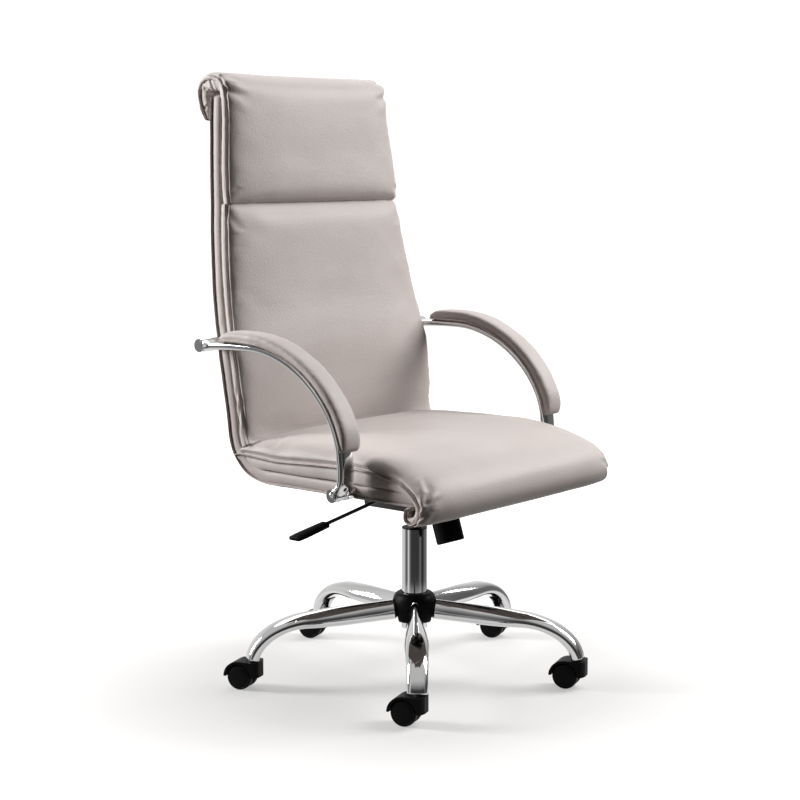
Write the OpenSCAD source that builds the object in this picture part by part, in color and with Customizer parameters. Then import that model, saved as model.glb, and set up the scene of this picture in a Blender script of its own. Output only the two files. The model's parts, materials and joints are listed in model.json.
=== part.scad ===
// Executive swivel armchair: five-leg base on twin-wheel casters, gas column,
// tilt mechanism, bent shell with rolled pads and two loop arms.
// Millimetres. Origin on the floor on the column's axis, +Z up, sitter faces -Y.

/* [Base] */
// Radius of the circle through the caster stems
stem_circle_r = 331; // [300:1:350]
// Turn of the leg star about the column
base_turn = 4.5; // [0:0.5:72]
// Turn of the casters about their stems
caster_turn = 107.6; // [0:0.1:359]
// Radius of a caster wheel
wheel_r = 25; // [22:0.5:25]
// Distance from a caster's stem back to its axle
caster_trail = 21.4; // [19:0.1:22]

/* [Column] */
// Outer radius of the column's outer tube
tube_r = 25; // [24:0.5:25]
// Height of the top of that tube
tube_top = 296; // [290:1:300]

/* [Tilt] */
// Height of the tilt pivot
pivot_z = 388; // [387:0.5:388.5]
// Distance of the tilt pivot behind the column's axis
pivot_y = 40; // [36:1:42]
// Outer radius of the tension knob
knob_r = 27.5; // [24:0.5:28]

/* [Seat and back] */
// Half the width of the shell at the seat
seat_half_w = 278; // [270:1:280]
// Half the width of the back at the head seam
head_half_w = 243; // [230:1:250]
// Half the width of the back at its top
top_half_w = 227; // [215:1:230]
// Height of the seam between back pad and head pad
head_seam_z = 929; // [900:1:950]
// Thickness of the padded shell
shell_t = 26; // [24:0.5:27]

/* [Arms] */
// Distance of an arm's middle from the chair's middle
arm_x = 313; // [312:1:316]
// Width of the flat-oval arm tube
arm_w = 38; // [34:1:40]
// Thickness of the flat-oval arm tube
arm_t = 15; // [13:0.5:16]
// Width of an arm pad
arm_pad_w = 50; // [44:1:52]

/* [Hidden] */
$fn = 48;
NUMBERS = [1, 2, 3, 4, 5];
SIDES = ["left", "right"];
CASTER_PIECES = ["caster_hood_", "caster_stem_", "caster_axle_", "caster_wheels_"];
ARM_PIECES = ["arm_frame_", "arm_pad_", "arm_caps_", "arm_bolts_"];

run = 0.05;            // radial clearance of a running fit

// Legs: a straight run, then a quarter ellipse down to the caster
leg_start_r = 28;
leg_bend_r = 215;
leg_start_z = 135.5;
leg_bend_z = 128;
leg_end_z = 59;
ellipse_z = 50;        // height of the ellipse's centre
ellipse_end = 83.5;    // angle at which the leg ends
leg_wall = 2;
hub_r = 32;
hub_low = 110;
hub_high = 166;
socket_r = 7.5;

// Caster
stem_r = 5;
stem_l = 13.5;         // of the stem above the hood, without its dome
axle_r = 4;
hood_top = 56.5;
hood_low = 26;
hood_gap = 1.4;        // between a wheel and the hood over it
hood_wall = 5;
hood_half_w = 21.5;
web_half_w = 3;
wheel_in = 3.4;
wheel_out = 20.6;

// Gas lift
tube_wall = 1.8;
tube_low = 96;
bush_low = 216;
cylinder_r = 14;
cylinder_in_r = 12;
cylinder_low = 125;
cylinder_high = 372;
rod_r = 5;
pin_r = 3;
pin_top = 380.2;

// Mechanism
wall_x = 45;           // outer face of the housing's side walls
wall_t = 3;
plate_low = 401.5;
plate_high = 405;
plate_half_x = 75;
plate_half_y = 112;
bridge_low = 384;
bridge_high = 387;
screw_x = 60;
screw_y = 92;
lever_z = 377.6;
lever_slope = 8.8;
lever_r = 3.5;
lever_ball_r = 9;      // of the ball that the lever rocks on
tension_at = [0, -52.1, plate_low];
tension_lean = 18;
knob_low = -128;       // along the bolt, from the bracket's underside
knob_high = -74;
bolt_r = 5;

// Shell and pads, side profile as [y, z] of the shell's rear and lower face
shell_bend = [[110, 405], [150, 407], [194, 424], [229, 468], [241, 540], [259, 640],
              [284, 740], [304, 860], [316, 980], [323, 1090], [325, 1142]];
shell_front = [-234, 405];
board_in = 5.5;
board_out = 20.5;
pad_gap = 0.3;
back_front = 60;        // from the shell's rear face to the front of the back pad
back_low_z = 479;      // height of the back pad's lower edge
waist_z = 640;         // the back keeps its full width up to here

// Arms
arm_boss_r = 12.5;
rear_boss = [255, 667];
seat_boss = [-82, 418];
arm_mid = [130, 480];  // centre of the arm's quarter ellipse
arm_reach = 226;
arm_rise = 190;
arm_power = 1.08;
boss_out = 332;        // from the chair's middle to a boss's outer end
rear_boss_in = seat_half_w - 3.3;

// ---------- shared shapes ----------

// A solid through a list of rings of points
module sweep(rings) {
    n = len(rings[0]);
    m = len(rings);
    points = [for (r = rings) each r];
    sides = [for (i = [0 : m - 2], j = [0 : n - 1]) let (k = (j + 1) % n)
        each [[i * n + k, i * n + j, (i + 1) * n + j], [i * n + k, (i + 1) * n + j, (i + 1) * n + k]]];
    first = [for (j = [0 : n - 1]) j];
    last = [for (j = [n - 1 : -1 : 0]) (m - 1) * n + j];
    polyhedron(points, concat(sides, [first, last]), convexity = 8);
}

// A point on the curve from b to c, with neighbours a and d
function curve_point(a, b, c, d, t) =
    0.5 * (2 * b + (c - a) * t + (2 * a - 5 * b + 4 * c - d) * t * t + (3 * b - a - 3 * c + d) * t * t * t);

function smooth(p, steps) = let (last = len(p) - 1) concat(
    [for (i = [0 : last - 1], s = [0 : steps - 1])
        curve_point(p[max(i - 1, 0)], p[i], p[i + 1], p[min(i + 2, last)], s / steps)],
    [p[last]]);

function unit(v) = v / norm(v);
function left_of(v) = [-v.y, v.x];
function reversed(list) = [for (i = [len(list) - 1 : -1 : 0]) list[i]];

// The line at a distance to the left of a line of [y, z] points
function beside(line, distance) = [for (i = [0 : len(line) - 1])
    line[i] + distance * left_of(unit(line[min(i + 1, len(line) - 1)] - line[max(i - 1, 0)]))];

shell_line = concat([shell_front], smooth(shell_bend, 3));

// Area between two distances from the shell's outer face
module layer(near, far) {
    polygon(concat(beside(shell_line, near), reversed(beside(shell_line, far))));
}

// A side profile drawn in [y, z] and carried across the chair
module across(half_w) {
    rotate([90, 0, 90]) translate([0, 0, -half_w]) linear_extrude(2 * half_w) children();
}

// The chair's outline from the front, drawn in [x, z], inset at its edge
module front_outline(inset) {
    corner = 34;
    top_z = 1177 - inset;
    half = [[seat_half_w - inset, 360], [seat_half_w - inset, waist_z],
            [head_half_w - inset, head_seam_z], [top_half_w - inset, top_z - corner]];
    arc = [for (a = [15 : 15 : 90])
        [top_half_w - inset - corner + corner * cos(a), top_z - corner + corner * sin(a)]];
    right = concat(half, arc);
    polygon(concat(right, [for (p = reversed(right)) [-p.x, p.y]]));
}

module cut_to_outline(inset) {
    intersection() {
        children();
        translate([0, 450, 0]) rotate([90, 0, 0]) linear_extrude(900) front_outline(inset);
    }
}

// ---------- base ----------

function leg_centre(t) = t < 0.5
    ? [leg_start_r + (leg_bend_r - leg_start_r) * 2 * t, leg_start_z + (leg_bend_z - leg_start_z) * 2 * t]
    : let (a = ellipse_end * (2 * t - 1))
        [leg_bend_r + (stem_circle_r + 1 - leg_bend_r) * sin(a), ellipse_z + (leg_bend_z - ellipse_z) * cos(a)];

function leg_up(t) = left_of(unit(leg_centre(t + 0.01) - leg_centre(t - 0.01)));

// Half width, half height and how far the top narrows to a ridge
function leg_half_w(t) = lookup(t, [[0, 16], [0.2, 17.5], [0.45, 25], [0.6, 24.5], [0.8, 22.5], [1, 21]]);
function leg_half_h(t) = lookup(t, [[0, 19.5], [0.35, 19], [0.47, 16.5], [0.62, 13], [1, 12.2]]);
function leg_ridge(t) = lookup(t, [[0, 0.62], [0.2, 0.55], [0.5, 0.25], [0.7, 0.1], [1, 0]]);

function leg_ring(t, inset, sides) = let (c = leg_centre(t), up = leg_up(t), w = leg_half_w(t) - inset,
        h = leg_half_h(t) - inset, ridge = leg_ridge(t))
    [for (i = [0 : sides - 1]) let (a = 360 * (i + 0.5) / sides,
            v = sign(sin(a)) * pow(abs(sin(a)), 0.8),
            u = sign(cos(a)) * pow(abs(cos(a)), 0.75) * (1 - ridge * pow((v + 1) / 2, 1.5)))
        [c.x + h * v * up.x, w * u, c.y + h * v * up.y]];

// Times along the leg of its rings, closer together in the bend
leg_times = concat([for (i = [0 : 4]) i / 10], [for (i = [0 : 10]) 0.45 + 0.055 * i]);

module at_leg(n) {
    rotate([0, 0, base_turn + 72 * (n - 1)]) children();
}

module at_stem(n) {
    at_leg(n) translate([stem_circle_r, 0, 0]) children();
}

module leg(n) {
    color("silver") at_leg(n) difference() {
        sweep([for (t = leg_times) leg_ring(t, 0, 20)]);
        sweep([for (i = [0 : 10]) leg_ring(0.06 + 0.0945 * i, leg_wall, 12)]);
        open_underside();
        cylinder(r = hub_r, h = 300);
    }
}

// The gap along the inside of the leg's outer bend, where its socket shows
module open_underside() {
    half_gap = 11;
    sweep([for (i = [0 : 5]) let (t = 0.76 + 0.052 * i, c = leg_centre(t), up = leg_up(t), h = leg_half_h(t))
        [for (q = [[-half_gap, -h - 4], [half_gap, -h - 4], [half_gap, 0], [-half_gap, 0]])
            [c.x + q.y * up.x, q.x, c.y + q.y * up.y]]]);
}

module leg_sockets() {
    color("gray") for (n = NUMBERS) at_stem(n) difference() {
        translate([0, 0, leg_end_z + 0.2]) cylinder(r = socket_r, h = 13);
        translate([0, 0, leg_end_z - 1]) cylinder(r = stem_r + run, h = 30);
    }
}

module hub_sleeve() {
    color("dimgray") translate([0, 0, hub_low]) difference() {
        cylinder(r = hub_r, h = hub_high - hub_low);
        translate([0, 0, -1]) cylinder(r = tube_r, h = hub_high - hub_low + 2);
    }
}

module hub_cover() {
    cover_r = 49;
    profile = [[tube_r + 0.4, 109], [cover_r - 7, 109], [cover_r - 1, 115], [cover_r, 128], [cover_r - 1, 148],
               [cover_r - 6, 158], [cover_r - 14, 165], [tube_r + 5, 169], [tube_r + 0.4, 170]];
    color([0.08, 0.08, 0.09]) difference() {
        rotate_extrude($fn = 64) polygon(profile);
        translate([0, 0, hub_low - 2]) cylinder(r = hub_r + 0.2, h = hub_high - hub_low + 2.4);
        for (n = NUMBERS) at_leg(n) sweep([for (t = [0, 0.15, 0.3]) leg_ring(t, -0.5, 20)]);
    }
}

module column_tube() {
    color("silver") difference() {
        translate([0, 0, tube_low]) cylinder(r = tube_r, h = tube_top - tube_low);
        translate([0, 0, tube_low + 3]) cylinder(r = tube_r - tube_wall, h = tube_top - tube_low);
        cylinder(r = rod_r + run, h = tube_top);
    }
}

module guide_bush() {
    color([0.07, 0.07, 0.07]) difference() {
        union() {
            translate([0, 0, bush_low]) cylinder(r = tube_r - tube_wall, h = tube_top - bush_low);
            translate([0, 0, tube_top]) cylinder(r = tube_r, h = 2);
        }
        translate([0, 0, bush_low - 1]) cylinder(r = cylinder_r + run, h = 90);
    }
}

module thrust_bearing() {
    color("gray") for (i = [0 : 2]) translate([0, 0, tube_low + 3 + 2.6 * i]) difference() {
        cylinder(r = 13 - (i % 2), h = 2.4);
        translate([0, 0, -1]) cylinder(r = rod_r + run, h = 5);
    }
}

// ---------- casters, drawn with their stem's axis at the origin and the trail along +X ----------

module at_caster(n) {
    at_leg(n) translate([stem_circle_r, 0, 0]) rotate([0, 0, caster_turn - base_turn - 72 * (n - 1)]) children();
}

module axle_cylinder(r, half_l) {
    translate([caster_trail, -half_l, wheel_r]) rotate([-90, 0, 0]) cylinder(r = r, h = 2 * half_l);
}

module caster_hood(n) {
    arch_r = wheel_r + hood_gap + hood_wall;
    stem_back = 17.6;
    color([0.06, 0.06, 0.07]) at_caster(n) difference() {
        union() {
            intersection() {
                axle_cylinder(arch_r, hood_half_w);
                translate([-50, -30, hood_low]) cube([120, 60, 60]);
            }
            intersection() {
                translate([-stem_back, -hood_half_w, hood_low])
                    cube([stem_back + caster_trail, 2 * hood_half_w, hood_top - hood_low]);
                translate([caster_trail, 0, 0]) cylinder(r = stem_back + caster_trail + 1, h = 100);
            }
            axle_cylinder(9, web_half_w);
        }
        for (side = [0, 1]) mirror([0, side, 0])
            translate([caster_trail, web_half_w, wheel_r]) rotate([-90, 0, 0])
                cylinder(r = wheel_r + hood_gap, h = 30);
        axle_cylinder(axle_r, 10);
        translate([0, 0, 43]) cylinder(r = stem_r + 0.5, h = 30);
    }
}

module caster_stem(n) {
    color("gray") at_caster(n) {
        translate([0, 0, 43]) cylinder(r = stem_r + 0.5, h = hood_top - 43);
        translate([0, 0, hood_top]) cylinder(r = 8, h = 1.6);
        translate([0, 0, hood_top]) cylinder(r = stem_r, h = stem_l);
        translate([0, 0, hood_top + stem_l]) intersection() {
            sphere(r = stem_r);
            translate([-10, -10, 0]) cube(20);
        }
    }
}

module caster_axle(n) {
    color("gray") at_caster(n) axle_cylinder(axle_r, 17);
}

module caster_wheels(n) {
    rim_r = wheel_r - 6;
    profile = [[axle_r + run, wheel_in], [wheel_r - 1.5, wheel_in], [wheel_r, wheel_in + 2.5],
               [wheel_r, wheel_out - 3], [wheel_r - 1, wheel_out - 1], [wheel_r - 3, wheel_out],
               [rim_r, wheel_out], [rim_r - 1.5, wheel_out - 2], [9, wheel_out - 2.6], [8, wheel_out - 1],
               [axle_r + run, wheel_out - 1]];
    color([0.1, 0.1, 0.11]) at_caster(n) for (side = [0, 1]) mirror([0, side, 0])
        translate([caster_trail, 0, wheel_r]) rotate([-90, 0, 0]) rotate_extrude($fn = 64) polygon(profile);
}

// ---------- gas lift ----------

module piston_rod() {
    color("silver") {
        translate([0, 0, 91]) cylinder(r = rod_r, h = 162);
        translate([0, 0, 250]) cylinder(r = cylinder_in_r - run, h = 12);
    }
}

module rod_clip() {
    color("gray") translate([0, 0, 93]) difference() {
        cylinder(r = 9, h = 2.4);
        translate([0, 0, -1]) cylinder(r = rod_r, h = 5);
    }
}

module gas_cylinder() {
    color([0.35, 0.36, 0.38]) difference() {
        translate([0, 0, cylinder_low]) cylinder(r = cylinder_r, h = cylinder_high - cylinder_low);
        translate([0, 0, cylinder_low + 15]) cylinder(r = cylinder_in_r, h = 214);
        translate([0, 0, cylinder_low - 1]) cylinder(r = rod_r + run, h = 20);
        translate([0, 0, 340]) cylinder(r = pin_r + run, h = 60);
    }
}

module release_pin() {
    color("silver") translate([0, 0, pin_top - 19]) cylinder(r = pin_r, h = 19);
}

// ---------- tilt mechanism ----------

module mech_housing() {
    wall = [[-38, 336], [88, 336], [92, 342], [92, 358], [56, 384], [pivot_y + 8, pivot_z + 6],
            [pivot_y - 8, pivot_z + 6], [24, bridge_high], [-38, bridge_high]];
    color([0.1, 0.1, 0.1]) difference() {
        union() {
            for (x = [-wall_x, wall_x - wall_t])
                translate([x, 0, 0]) rotate([90, 0, 90]) linear_extrude(wall_t) polygon(wall);
            translate([-wall_x, -38, 336]) cube([2 * wall_x, 126, wall_t]);
            translate([-wall_x, -38, 336]) cube([2 * wall_x, wall_t, bridge_high - 336]);
            translate([-wall_x, 88, 336]) cube([2 * wall_x, wall_t, 22]);
            translate([-30, -96, bridge_low]) cube([60, 60, bridge_high - bridge_low]);
            for (x = [-33, 30]) translate([x, -96, 378]) cube([3, 60, bridge_high - 378]);
            translate([0, 0, 330]) cylinder(r = 20, h = 44);
        }
        translate([0, 0, 320]) cylinder(r = cylinder_r, h = 60);
        translate([-6.5, -77, bridge_low - 1]) cube([13, 29, 6]);
        pivot_line(5, 60);
        at_lever() sphere(r = lever_ball_r);
    }
}

module pivot_line(r, half_l) {
    translate([-half_l, pivot_y, pivot_z]) rotate([0, 90, 0]) cylinder(r = r, h = 2 * half_l);
}

module pivot_pin() {
    color("gray") pivot_line(5, 52);
}

module seat_bracket() {
    ear = [[20, plate_low + 1], [60, plate_low + 1], [52, pivot_z - 8], [pivot_y, pivot_z - 11], [28, pivot_z - 8]];
    color([0.12, 0.12, 0.12]) difference() {
        union() {
            translate([-plate_half_x, -plate_half_y, plate_low])
                cube([2 * plate_half_x, 2 * plate_half_y, plate_high - plate_low]);
            for (x = [-wall_x - 4, wall_x + 1])
                translate([x, 0, 0]) rotate([90, 0, 90]) linear_extrude(3) polygon(ear);
            at_tension() translate([0, 0, -10]) cylinder(r = 9, h = 11);
        }
        pivot_line(5 + run, 60);
        at_tension() translate([0, 0, -30]) cylinder(r = bolt_r + run, h = 60);
        for (x = [-screw_x, screw_x], y = [-screw_y, screw_y])
            translate([x, y, plate_low - 1]) cylinder(r = 3.2, h = 10);
    }
}

module seat_screws() {
    color("gray") for (x = [-screw_x, screw_x], y = [-screw_y, screw_y]) translate([x, y, 0]) {
        translate([0, 0, plate_low - 4]) cylinder(r = 5.5, h = 4);
        translate([0, 0, plate_low - 4]) cylinder(r = 3, h = 23);
    }
}

module at_tension() {
    translate(tension_at) rotate([-tension_lean, 0, 0]) children();
}

module tension_bolt() {
    color("gray") at_tension() translate([0, 0, knob_low + 6]) cylinder(r = bolt_r, h = -knob_low - 8);
}

module tension_knob() {
    profile = [[bolt_r, knob_low], [knob_r - 2, knob_low], [knob_r, knob_low + 2], [knob_r, knob_high - 1],
               [knob_r - 1, knob_high], [knob_r - 4, knob_high], [knob_r - 4, knob_low + 8], [bolt_r, knob_low + 8]];
    color([0.06, 0.06, 0.06]) at_tension() rotate_extrude($fn = 64) polygon(profile);
}

// Coil spring round the bolt, between the knob's floor and the housing's bridge
module tension_spring() {
    turns = 6;
    wire_r = 2.4;
    coil_r = 14;
    low = knob_low + 8 + wire_r + 0.3;
    high = -26;
    per_turn = 12;
    color("dimgray") at_tension() sweep([for (i = [0 : turns * per_turn]) let (a = 360 * i / per_turn,
            z = low + (high - low) * i / (turns * per_turn))
        [for (j = [0 : 5]) let (r = coil_r + wire_r * cos(60 * j))
            [r * cos(a), r * sin(a), z + wire_r * sin(60 * j)]]]);
}

// The lever's axis, with -X pointing out and slightly down from the housing's wall
module at_lever() {
    translate([-wall_x, 0, lever_z]) rotate([0, -lever_slope, 0]) children();
}

module lever_line(r, from_x, to_x) {
    translate([to_x, 0, 0]) rotate([0, 90, 0]) cylinder(r = r, h = from_x - to_x);
}

// A ball with flat ends, seated in the housing's wall
module lever_bush() {
    color([0.8, 0.8, 0.78]) at_lever() difference() {
        intersection() {
            sphere(r = lever_ball_r - run);
            translate([-6, -10, -10]) cube([11, 20, 20]);
        }
        lever_line(lever_r + run, 20, -20);
    }
}

module lever_rod() {
    color([0.08, 0.08, 0.08]) at_lever() lever_line(lever_r, 61, -232);
}

module lever_paddle() {
    blade = [[-216, 5.5], [-228, 6.5], [-246, 11], [-272, 13.5], [-292, 13.5], [-301, 10], [-305, 4]];
    color([0.06, 0.06, 0.06]) at_lever() difference() {
        intersection() {
            translate([0, 0, -10]) linear_extrude(20)
                polygon(concat(blade, [for (p = reversed(blade)) [p.x, -p.y]]));
            rotate([90, 0, 0]) translate([0, 0, -20]) linear_extrude(40)
                polygon([[-216, -5.5], [-216, 5.5], [-240, 5.5], [-290, 4], [-305, 2], [-305, -4], [-285, -5.5]]);
        }
        lever_line(lever_r, -200, -232);
    }
}

// ---------- shell and pads ----------

module shell_board() {
    color("burlywood") difference() {
        cut_to_outline(8) across(seat_half_w) difference() {
            layer(board_in, board_out);
            translate([-240, 380]) square([14, 60]);
            translate([200, 1130]) square([200, 40]);
        }
        screw_holes(3);
        arm_bolt_holes(4);
    }
}

module shell_cover() {
    color([0.62, 0.58, 0.56]) difference() {
        cut_to_outline(0) across(seat_half_w) layer(0, shell_t);
        cut_to_outline(8) across(seat_half_w) difference() {
            layer(board_in, board_out);
            translate([-240, 380]) square([14, 60]);
            translate([200, 1130]) square([200, 40]);
        }
        screw_holes(3.2);
        arm_bolt_holes(4.2);
    }
}

module screw_holes(r) {
    for (x = [-screw_x, screw_x], y = [-screw_y, screw_y])
        translate([x, y, plate_high - 5]) cylinder(r = r, h = 20.5);
}

module arm_bolt_holes(r) {
    for (side = [-1, 1], p = [rear_boss, seat_boss])
        translate([side * 265, p.x, p.y]) rotate([0, 90, 0]) cylinder(r = r, h = 60, center = true);
}

module seat_pad() {
    outline = smooth([[206, 452], [196, 470], [160, 488], [100, 497], [-20, 501], [-120, 497], [-190, 484],
                      [-245, 460], [-272, 434], [-277, 408], [-264, 385], [-240, 376], [-216, 379],
                      [-208, 392], [-216, 402.5]], 2);
    edge = [[seat_half_w, 360], [seat_half_w, 459], [seat_half_w - 14, 478], [seat_half_w - 45, 492],
            [seat_half_w - 90, 502]];
    color([0.76, 0.73, 0.71]) intersection() {
        across(seat_half_w) difference() {
            polygon(concat(outline, [[-234.5, 402.5], [-234.5, 431.3], [150, 431.3]]));
            layer(-60, shell_t + pad_gap);
            intersection() {
                layer(0, back_front + pad_gap);
                translate([100, back_low_z - pad_gap]) square([200, 60]);
            }
        }
        translate([0, 300, 0]) rotate([90, 0, 0]) linear_extrude(700)
            polygon(concat(edge, [for (p = reversed(edge)) [-p.x, p.y]]));
    }
}

module back_pad() {
    color([0.76, 0.73, 0.71]) cut_to_outline(0) across(seat_half_w) intersection() {
        layer(shell_t + pad_gap, back_front);
        translate([100, back_low_z]) square([300, head_seam_z - back_low_z - pad_gap]);
    }
}

// The upright stretch of a layer's edge, from a height up to the top of the shell
function upright(line, low) = concat(
    [[lookup(low, [for (p = line) if (p.x > 150) [p.y, p.x]]), low]],
    [for (p = line) if (p.x > 150 && p.y > low + 1) p]);

// Runs up the shell, rolls over its top and hangs behind it
module head_pad() {
    roll = smooth([[268, 1156], [279, 1169], [297, 1175], [318, 1177], [338, 1172], [355, 1162], [366, 1147],
                   [363, 1120], [355, 1099], [345, 1091], [337, 1099], [342, 1122], [340, 1139],
                   [330, 1147], [300, 1148]], 2);
    color([0.76, 0.73, 0.71]) cut_to_outline(0) across(seat_half_w) polygon(concat(
        upright(beside(shell_line, back_front), head_seam_z), roll,
        reversed(upright(beside(shell_line, shell_t + pad_gap), head_seam_z))));
}

// ---------- arms, drawn on the -X side and mirrored for the other ----------

function arm_centre(a) = [arm_mid.x - arm_reach * pow(sin(a), arm_power),
                          arm_mid.y + arm_rise * pow(cos(a), arm_power)];

arm_line = concat([rear_boss, [235, 667], [200, 669], [165, 670]],
    [for (a = [4 : 8.5 : 89]) arm_centre(a)],
    [[-97.5, 462], [-95, 438], seat_boss]);

// A ring of the arm's section, standing a distance out from the arm's middle line
function arm_ring(i, half_w, half_t, out, sides) = let (last = len(arm_line) - 1,
        along = unit(arm_line[min(i + 1, last)] - arm_line[max(i - 1, 0)]), up = -left_of(along),
        c = arm_line[i] + out * up)
    [for (j = [0 : sides - 1]) let (a = 360 * (j + 0.5) / sides,
            u = half_w * sign(cos(a)) * pow(abs(cos(a)), 0.55),
            v = half_t * sign(sin(a)) * pow(abs(sin(a)), 0.75))
        [u, c.x + v * up.x, c.y + v * up.y]];

module on_arm(side) {
    if (side == "right") translate([-arm_x, 0, 0]) children();
    else mirror([1, 0, 0]) translate([-arm_x, 0, 0]) children();
}

module boss_line(p, r, from_x, to_x) {
    translate([from_x, p.x, p.y]) rotate([0, 90, 0]) cylinder(r = r, h = to_x - from_x);
}

module arm_frame(side) {
    outer_end = arm_x - boss_out;
    color("silver") on_arm(side) difference() {
        union() {
            difference() {
                sweep([for (i = [0 : len(arm_line) - 1]) arm_ring(i, arm_w / 2, arm_t / 2, 0, 16)]);
                sweep([for (i = [1 : len(arm_line) - 2]) arm_ring(i, arm_w / 2 - 2, arm_t / 2 - 2, 0, 12)]);
            }
            boss_line(rear_boss, arm_boss_r, outer_end, arm_x - rear_boss_in);
            boss_line(seat_boss, arm_boss_r, outer_end, arm_x - seat_half_w);
        }
        for (p = [rear_boss, seat_boss]) {
            boss_line(p, 4.2, outer_end - 1, arm_x - rear_boss_in + 1);
            boss_line(p, 8, outer_end - 1, outer_end + 8);
        }
    }
}

module arm_bolts(side) {
    color("gray") on_arm(side) for (p = [rear_boss, seat_boss]) {
        boss_line(p, 4, arm_x - boss_out + 3, arm_x - seat_half_w + 35);
        boss_line(p, 6.5, arm_x - boss_out + 2, arm_x - boss_out + 8);
    }
}

module arm_caps(side) {
    start = arm_x - boss_out;
    color("silver") on_arm(side) for (p = [rear_boss, seat_boss]) {
        boss_line(p, arm_boss_r, start - 2, start);
        boss_line(p, arm_boss_r - 2.5, start - 4, start);
    }
}

module arm_pad(side) {
    pad_half_t = 11;
    first = 2;
    last = len(arm_line) - 4;
    color([0.76, 0.73, 0.71]) on_arm(side) sweep([for (i = [first : last])
        arm_ring(i, arm_pad_w / 2, pad_half_t, arm_t / 2 + pad_half_t + pad_gap, 12)]);
}

// ---------- nodes ----------

for (n = NUMBERS) leg(n);
leg_sockets();
hub_sleeve();
hub_cover();
column_tube();
guide_bush();
thrust_bearing();
piston_rod();
rod_clip();
gas_cylinder();
release_pin();
mech_housing();
pivot_pin();
seat_bracket();
tension_bolt();
tension_knob();
tension_spring();
lever_bush();
lever_rod();
lever_paddle();
seat_screws();
shell_board();
shell_cover();
seat_pad();
back_pad();
head_pad();
for (s = SIDES) arm_frame(s);
for (s = SIDES) arm_pad(s);
for (s = SIDES) arm_caps(s);
for (s = SIDES) arm_bolts(s);
for (n = NUMBERS) caster_hood(n);
for (n = NUMBERS) caster_stem(n);
for (n = NUMBERS) caster_axle(n);
for (n = NUMBERS) caster_wheels(n);
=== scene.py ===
import json
import math

import bmesh
import bpy
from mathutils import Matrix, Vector, noise


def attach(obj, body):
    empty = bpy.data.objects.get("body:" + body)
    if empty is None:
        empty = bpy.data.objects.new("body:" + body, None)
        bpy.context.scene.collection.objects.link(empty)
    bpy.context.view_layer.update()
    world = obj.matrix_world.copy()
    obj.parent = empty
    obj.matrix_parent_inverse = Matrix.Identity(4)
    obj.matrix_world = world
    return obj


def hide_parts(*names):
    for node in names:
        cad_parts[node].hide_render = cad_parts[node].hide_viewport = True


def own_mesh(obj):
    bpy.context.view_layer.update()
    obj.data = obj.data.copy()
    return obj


# Executive swivel armchair, in metres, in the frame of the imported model:
# +Z up, the sitter faces -Y, the column stands on the origin.

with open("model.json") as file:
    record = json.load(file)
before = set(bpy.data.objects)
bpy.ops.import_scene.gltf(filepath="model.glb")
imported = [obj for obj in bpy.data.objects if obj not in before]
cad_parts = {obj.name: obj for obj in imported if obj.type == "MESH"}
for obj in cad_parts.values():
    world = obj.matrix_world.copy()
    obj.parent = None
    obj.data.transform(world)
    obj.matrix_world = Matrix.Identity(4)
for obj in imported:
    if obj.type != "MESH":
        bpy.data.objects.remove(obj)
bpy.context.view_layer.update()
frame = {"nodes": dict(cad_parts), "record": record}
record = frame["record"]
scene = bpy.context.scene
mm = 0.001


def hexToLinear(code):
    parts = [int(code[i:i + 2], 16) / 255 for i in (1, 3, 5)]
    return tuple(p / 12.92 if p < 0.04045 else ((p + 0.055) / 1.055) ** 2.4 for p in parts) + (1.0,)


def mixValue(a, b, t):
    return a + (b - a) * t


def ease(t):
    t = max(0.0, min(1.0, t))
    return t * t * (3 - 2 * t)


def squared(value, power):  # squares off an oval, for a power under 1
    return math.copysign(abs(value) ** power, value)


def lumps(x, y, z):
    return noise.noise(Vector((x, y, z)))


def addObject(name, data):
    made = bpy.data.objects.new(name, data)
    scene.collection.objects.link(made)
    return made


def lookUp(table, t):
    if t <= table[0][0]:
        return table[0][1]
    for (ta, va), (tb, vb) in zip(table, table[1:]):
        if t <= tb:
            return mixValue(va, vb, (t - ta) / (tb - ta))
    return table[-1][1]


def lookUpSmooth(table, t):  # the table read along a soft curve, so no corner shows
    if t <= table[0][0] or t >= table[-1][0]:
        return lookUp(table, t)
    for i, (a, b) in enumerate(zip(table, table[1:])):
        if t <= b[0]:
            before, after = table[max(i - 1, 0)], table[min(i + 2, len(table) - 1)]
            slopeA = (b[1] - before[1]) / (b[0] - before[0])
            slopeB = (after[1] - a[1]) / (after[0] - a[0])
            span = b[0] - a[0]
            u = (t - a[0]) / span
            return ((2 * u ** 3 - 3 * u * u + 1) * a[1] + (u ** 3 - 2 * u * u + u) * span * slopeA
                    + (3 * u * u - 2 * u ** 3) * b[1] + (u ** 3 - u * u) * span * slopeB)


def curvePoint(a, b, c, d, t):  # point between b and c
    return tuple(0.5 * (2 * q + (r - p) * t + (2 * p - 5 * q + 4 * r - s) * t * t + (3 * q - p - 3 * r + s) * t ** 3)
                 for p, q, r, s in zip(a, b, c, d))


def smoothLine(points, steps):
    last = len(points) - 1
    line = [curvePoint(points[max(i - 1, 0)], points[i], points[i + 1], points[min(i + 2, last)], s / steps)
            for i in range(last) for s in range(steps)]
    return line + [tuple(points[-1])]


def evenLine(points, count):  # the same line with evenly spaced points
    lengths = [0.0]
    for a, b in zip(points, points[1:]):
        lengths.append(lengths[-1] + math.dist(a, b))
    out, k = [], 0
    for i in range(count):
        want = lengths[-1] * i / (count - 1)
        while k < len(lengths) - 2 and lengths[k + 1] < want:
            k += 1
        t = (want - lengths[k]) / max(lengths[k + 1] - lengths[k], 1e-9)
        out.append(tuple(mixValue(a, b, t) for a, b in zip(points[k], points[k + 1])))
    return out


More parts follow.
